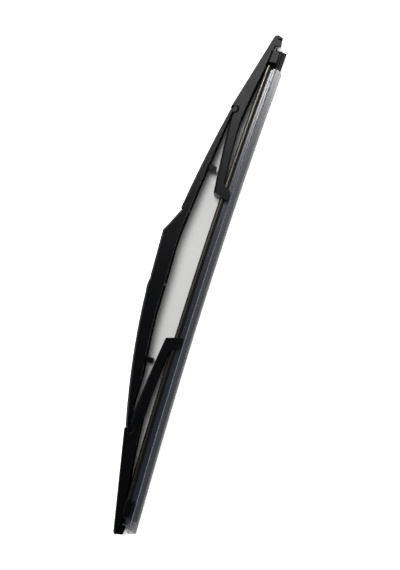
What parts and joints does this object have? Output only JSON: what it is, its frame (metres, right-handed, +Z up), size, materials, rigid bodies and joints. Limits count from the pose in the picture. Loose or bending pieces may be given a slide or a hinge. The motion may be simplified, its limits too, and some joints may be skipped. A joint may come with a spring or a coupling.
{
  "type": "rear wiper blade",
  "caption": "Short rear-window wiper blade: a moulded bridge, two rocking levers, and a rubber with steel strips in a smoky lip guard.",
  "frame": {"origin": "on the surface that the blade lies on, under the middle of its box", "axes": "+X along the blade towards its right lever, +Y from the wiping lip to the bridge's back, +Z up through the lying blade"},
  "size_m": [0.3168, 0.0409, 0.0132],
  "materials": {
    "black_plastic": "satin",
    "wiping_rubber": "matte",
    "spring_steel": "satin",
    "smoky_film": "gloss"
  },
  "bodies": {
    "bridge": {"main_bridge": "black_plastic", "wiping_rubber": "wiping_rubber", "near_flexor": "spring_steel", "far_flexor": "spring_steel", "lip_guard": "smoky_film"},
    "left_lever": {"left_lever": "black_plastic"},
    "right_lever": {"right_lever": "black_plastic"}
  },
  "joints": [
    {"name": "left_pivot", "type": "hinge", "parent": "bridge", "child": "left_lever", "pos_m": [-0.1022, 0.00201, 0.0066], "axis": [0, 0, -1], "range_deg": [-2, 5], "deforming": ["wiping_rubber", "near_flexor", "far_flexor", "lip_guard"]},
    {"name": "right_pivot", "type": "hinge", "parent": "bridge", "child": "right_lever", "pos_m": [0.1022, 0.00201, 0.0066], "axis": [0, 0, 1], "range_deg": [-2, 5], "deforming": ["wiping_rubber", "near_flexor", "far_flexor", "lip_guard"]}
  ]
}
